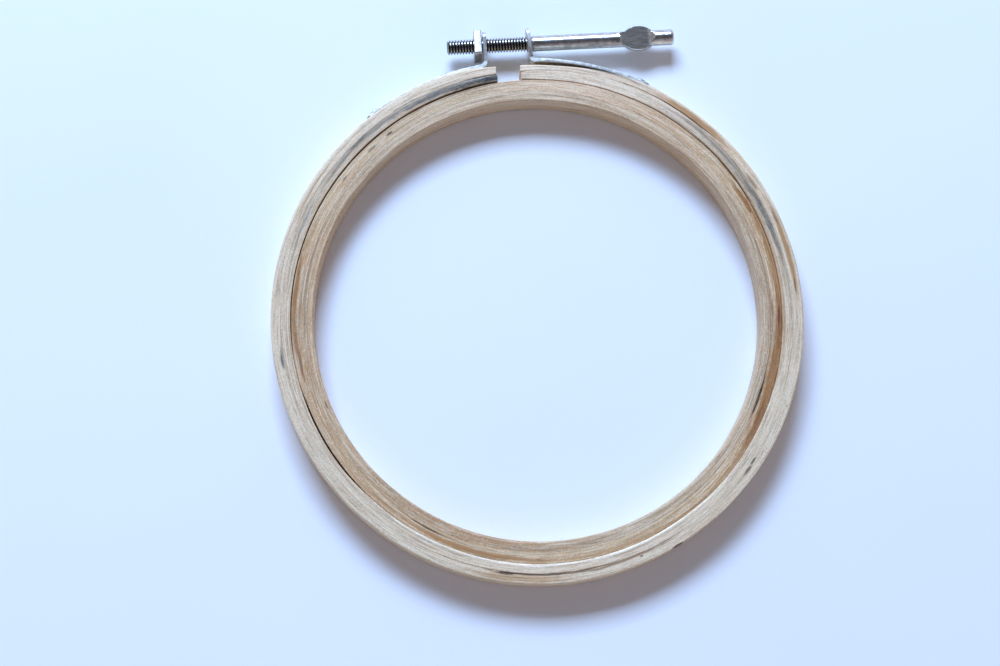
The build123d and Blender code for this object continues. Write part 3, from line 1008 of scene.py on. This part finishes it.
def nut_ear_sloped(places):
    """Slopes the nut's ear and opens its hole a little, so that it clears the thread when the ring is open."""
    moved = without_step(places, nut_strap_top)
    from_hole = places[:, 1:] - np.array([screw_y + nut_hole_rise, screw_z])
    away = np.hypot(from_hole[:, 0], from_hole[:, 1])
    on_hole = (away < nut_hole_edge)[:, None]
    moved[:, 1:] += on_hole * from_hole * (nut_hole_growth / np.maximum(away, MM))[:, None]
    return moved


def bent_to_planed_ring(places):
    """Moves the head's bracket and nails in with the wood under them, and narrows the strap towards its end."""
    around = round_the_ring(places)
    beyond_bend = np.clip((around - bend_at) / bend_over, 0, 1)
    out = np.hypot(places[:, 0], places[:, 1])
    scale = 1 - strap_pull * planed_share(places) * strap_share(places) / out
    moved = places.copy()
    moved[:, 0] = places[:, 0] * scale
    moved[:, 1] = places[:, 1] * scale
    narrowing = np.clip((around - narrow_from) / narrow_over, 0, 1) * narrow_share * beyond_bend
    moved[:, 2] = places[:, 2] - (places[:, 2] - head_bracket_low.z) * narrowing
    return without_step(moved, head_strap_top)


def leaning_ear(places):
    """The head's ear leans a little towards the nut."""
    moved = bent_to_planed_ring(places)
    up = np.clip((places[:, 1] - lean_foot_y) / lean_height, 0, 1)
    in_ear = np.clip((places[:, 1] - lean_foot_y + 0.5 * MM) / MM, 0, 1)
    moved[:, 0] += (lean_right - lean_left * up) * in_ear
    return moved


def nail_pulled_in(places):
    """A nail goes in with the ring as one piece."""
    middle = places.mean(axis=0)[None, :]
    return places + (bent_to_planed_ring(middle) - middle) * np.array([[1, 1, 0]])


def copy_of(node_name, piece_name, material, body, change=None):
    """A new piece with a CAD node's shape, small bends that only the looks have, and its own material."""
    mesh = frame["nodes"][node_name].data.copy()
    mesh.materials.clear()
    mesh.materials.append(material)
    work = bmesh.new()
    work.from_mesh(mesh)
    bmesh.ops.remove_doubles(work, verts=work.verts, dist=0.002 * MM)
    bmesh.ops.recalc_face_normals(work, faces=work.faces)
    work.to_mesh(mesh)
    work.free()
    if "custom_normal" in mesh.attributes:
        mesh.attributes.remove(mesh.attributes["custom_normal"])
    if change is not None:
        places = np.zeros(len(mesh.vertices) * 3, np.float32)
        mesh.vertices.foreach_get("co", places)
        moved = change(places.reshape(-1, 3).astype(float))
        mesh.vertices.foreach_set("co", moved.astype(np.float32).ravel())
    mesh.update()
    mesh.shade_smooth()
    mesh.set_sharp_from_angle(angle=radians(32))
    keep_rest_place(mesh)
    piece = bpy.data.objects.new(piece_name, mesh)
    bpy.context.scene.collection.objects.link(piece)
    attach(piece, body)
    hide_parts(node_name)


copy_of("head_side_bracket", "head_bracket_sheet", bracket_steel, "head_half", leaning_ear)
copy_of("nut_side_bracket", "nut_bracket_sheet", bracket_steel, "nut_half", nut_ear_sloped)
for number in (1, 2):
    copy_of(f"head_bracket_nail_{number}", f"head_nail_{number}", nail_steel, "head_half",
            nail_pulled_in)
    copy_of(f"nut_bracket_nail_{number}", f"nut_nail_{number}", nail_steel, "nut_half")


# ---------------- table, light and camera

PAPER_DARK = (0.89, 0.885, 0.88)
PAPER_LIGHT = (0.92, 0.915, 0.91)


def paper():
    """Plain white paper, very slightly uneven."""
    material, n = new_material("pale_paper")
    place = n.add("ShaderNodeNewGeometry").outputs["Position"]
    soft = n.noise(place, 0.3, 9.0, 2.0, 0.5)
    fine = n.noise(place, 1.3, 900.0, 2.0, 0.6)
    base = n.mix(n.remap(soft, 0.3, 0.7), PAPER_DARK, PAPER_LIGHT)
    finish_material(n, base, 0.8, n.bump(fine, 0.1, 0.05 * MM), {"Specular IOR Level": 0.2})
    return material


floor_mesh = bpy.data.meshes.new("paper_sheet")
far = 1.5
floor_mesh.from_pydata([(-far, -far, 0), (far, -far, 0), (far, far, 0), (-far, far, 0)], [], [(0, 1, 2, 3)])
floor_mesh.materials.append(paper())
floor = bpy.data.objects.new("paper_sheet", floor_mesh)
bpy.context.scene.collection.objects.link(floor)

# one wide soft window stands a little to the left beyond the screw
azimuth = radians(-10)
elevation = radians(43)
distance = 2.1
toward = Vector((sin(azimuth) * cos(elevation), cos(azimuth) * cos(elevation), sin(elevation)))
window_light = bpy.data.lights.new("window", "AREA")
window_light.shape = "RECTANGLE"
window_light.size = 1.108
window_light.size_y = 0.63
window_light.energy = 73.0
window_light.color = (0.436, 0.630, 1.0)
window_lamp = bpy.data.objects.new("window", window_light)
window_lamp.location = toward * distance
window_lamp.rotation_euler = toward.to_track_quat("Z", "Y").to_euler()
bpy.context.scene.collection.objects.link(window_lamp)

world = bpy.data.worlds.new("room")
world.use_nodes = True
n = Nodes(world.node_tree)
direction = n.add("ShaderNodeTexCoord").outputs["Generated"]
_, north, up = n.separate(direction)
# pale walls at the level of the table, getting darker up to the ceiling
wall_stops = [(0.0, (0.43, 0.41, 0.49)), (0.45, (0.32, 0.31, 0.375)), (0.78, (0.165, 0.16, 0.19)),
              (0.92, (0.075, 0.075, 0.09)), (1.0, (0.06, 0.06, 0.074))]
sky = n.ramp(n.remap(up, 0.0, 1.0), wall_stops)
window_glow = n.remap(north, 0.3, 1.0, 0.0, 0.35, smooth=True)
sky = n.mix(window_glow, sky, (0.60, 0.64, 0.80))
background = n.add("ShaderNodeBackground")
n.feed(background.inputs["Color"], sky)
background.inputs["Strength"].default_value = 1.25
world_output = n.add("ShaderNodeOutputWorld")
n.feed(world_output.inputs["Surface"], background.outputs[0])
bpy.context.scene.world = world
bpy.context.scene.view_settings.view_transform = "Standard"

camera_data = bpy.data.cameras.new("camera")
camera_data.sensor_width = 36
camera_data.lens = 80.64
camera_data.clip_start = 0.01
camera = bpy.data.objects.new("camera", camera_data)
camera_height = 0.605589
tilt_about_x = radians(-10.200)
tilt_about_y = radians(1.662)
turn_about_z = radians(3.111)
aim_x = -0.009878
aim_y = -0.002760
view = (
    Matrix.Translation((0, 0, -camera_height))
    @ Matrix.Rotation(tilt_about_y, 4, "Y")
    @ Matrix.Rotation(tilt_about_x, 4, "X")
    @ Matrix.Translation((-aim_x, -aim_y, 0))
    @ Matrix.Rotation(turn_about_z, 4, "Z")
)
camera.matrix_world = view.inverted()
bpy.context.scene.collection.objects.link(camera)
bpy.context.scene.camera = camera
